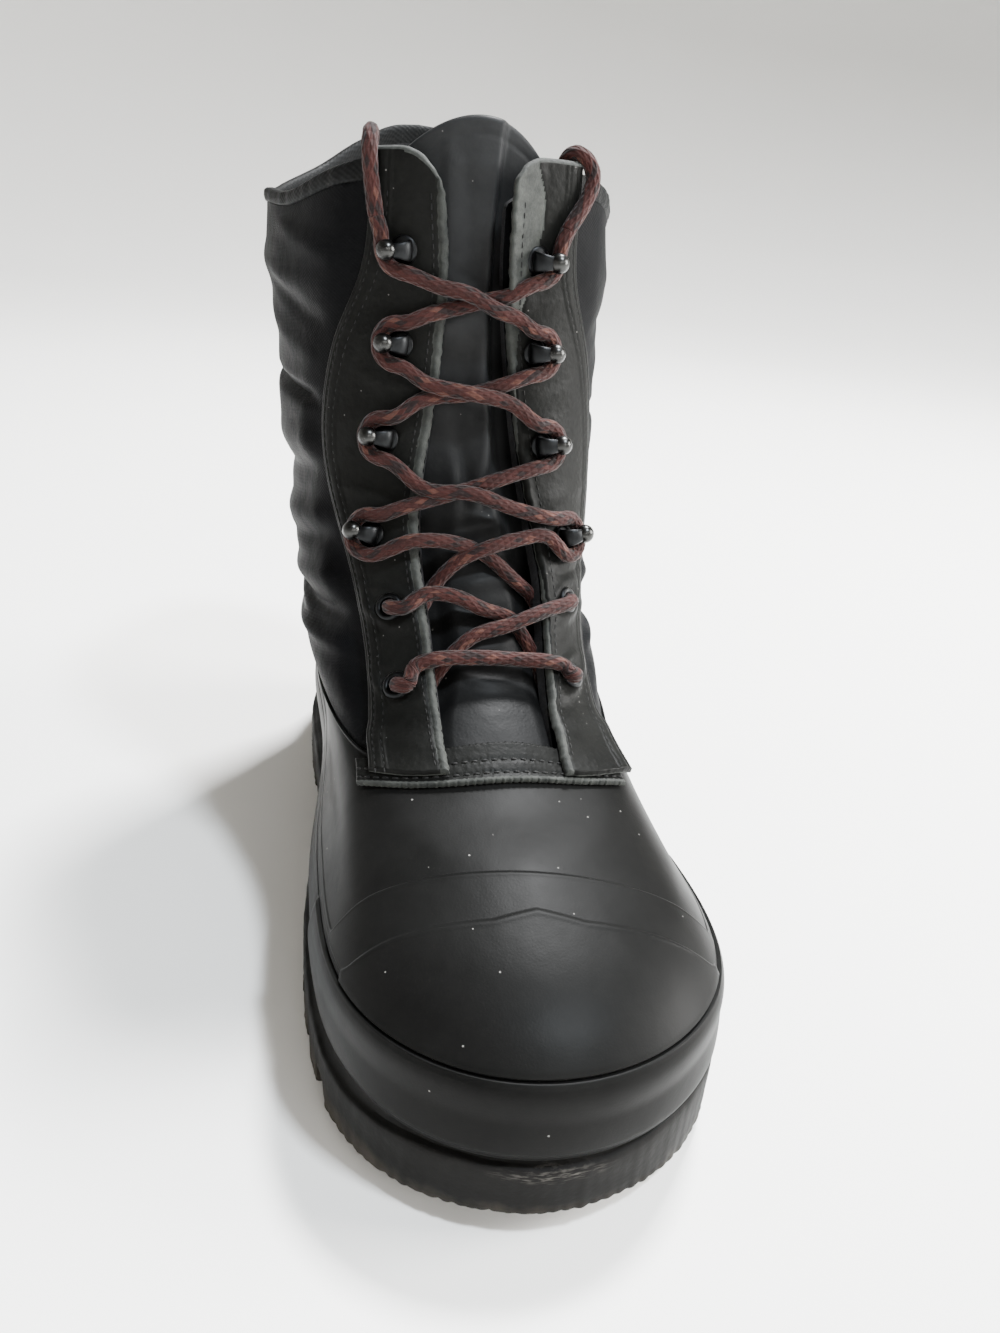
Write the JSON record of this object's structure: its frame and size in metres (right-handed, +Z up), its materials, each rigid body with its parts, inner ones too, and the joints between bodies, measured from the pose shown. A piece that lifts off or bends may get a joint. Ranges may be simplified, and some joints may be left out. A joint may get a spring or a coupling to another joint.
{
  "type": "lace-up rubber rain boot",
  "caption": "Lace-up rain boot with a moulded rubber foot, padded nylon shaft, leather facings and tongue, speed hooks and a round lace; it stands empty on its lugged sole.",
  "frame": {"origin": "on the floor, under the middle of the outsole's outline, where the forefoot tread touches it", "axes": "+Z up out of the boot, -Y towards the toe, -X towards the big-toe side of the wearer's left foot"},
  "size_m": [0.1249, 0.321, 0.2613],
  "materials": {
    "sole_rubber": "matt black rubber with dust on its edge",
    "shell_rubber": "satin charcoal black rubber",
    "footbed": "dark fabric over foam",
    "nylon": "shiny black nylon, quilted",
    "leather": "black leather with lighter raw edges",
    "tongue_leather": "soft black leather",
    "lace_cord": "maroon braid with dark flecks",
    "dark_metal": "dark nickel"
  },
  "bodies": {
    "root": {"outsole": "sole_rubber", "rubber_shell": "shell_rubber", "insole": "footbed", "nylon_shaft": "nylon", "throat_strip": "leather", "tongue": "tongue_leather", "eyestay_medial": "leather", "eyestay_lateral": "leather", "eyelet_1_medial": "dark_metal", "eyelet_1_lateral": "dark_metal", "eyelet_2_medial": "dark_metal", "eyelet_2_lateral": "dark_metal", "hook_1_medial": "dark_metal", "hook_1_lateral": "dark_metal", "hook_2_medial": "dark_metal", "hook_2_lateral": "dark_metal", "hook_3_medial": "dark_metal", "hook_3_lateral": "dark_metal", "hook_4_medial": "dark_metal", "hook_4_lateral": "dark_metal", "lace_bar": "lace_cord", "lace_crossing_1": "lace_cord", "lace_crossing_2": "lace_cord", "lace_crossing_3": "lace_cord", "lace_crossing_4": "lace_cord", "lace_crossing_5": "lace_cord", "lace_end_medial": "lace_cord", "lace_end_lateral": "lace_cord"}
  },
  "joints": []
}
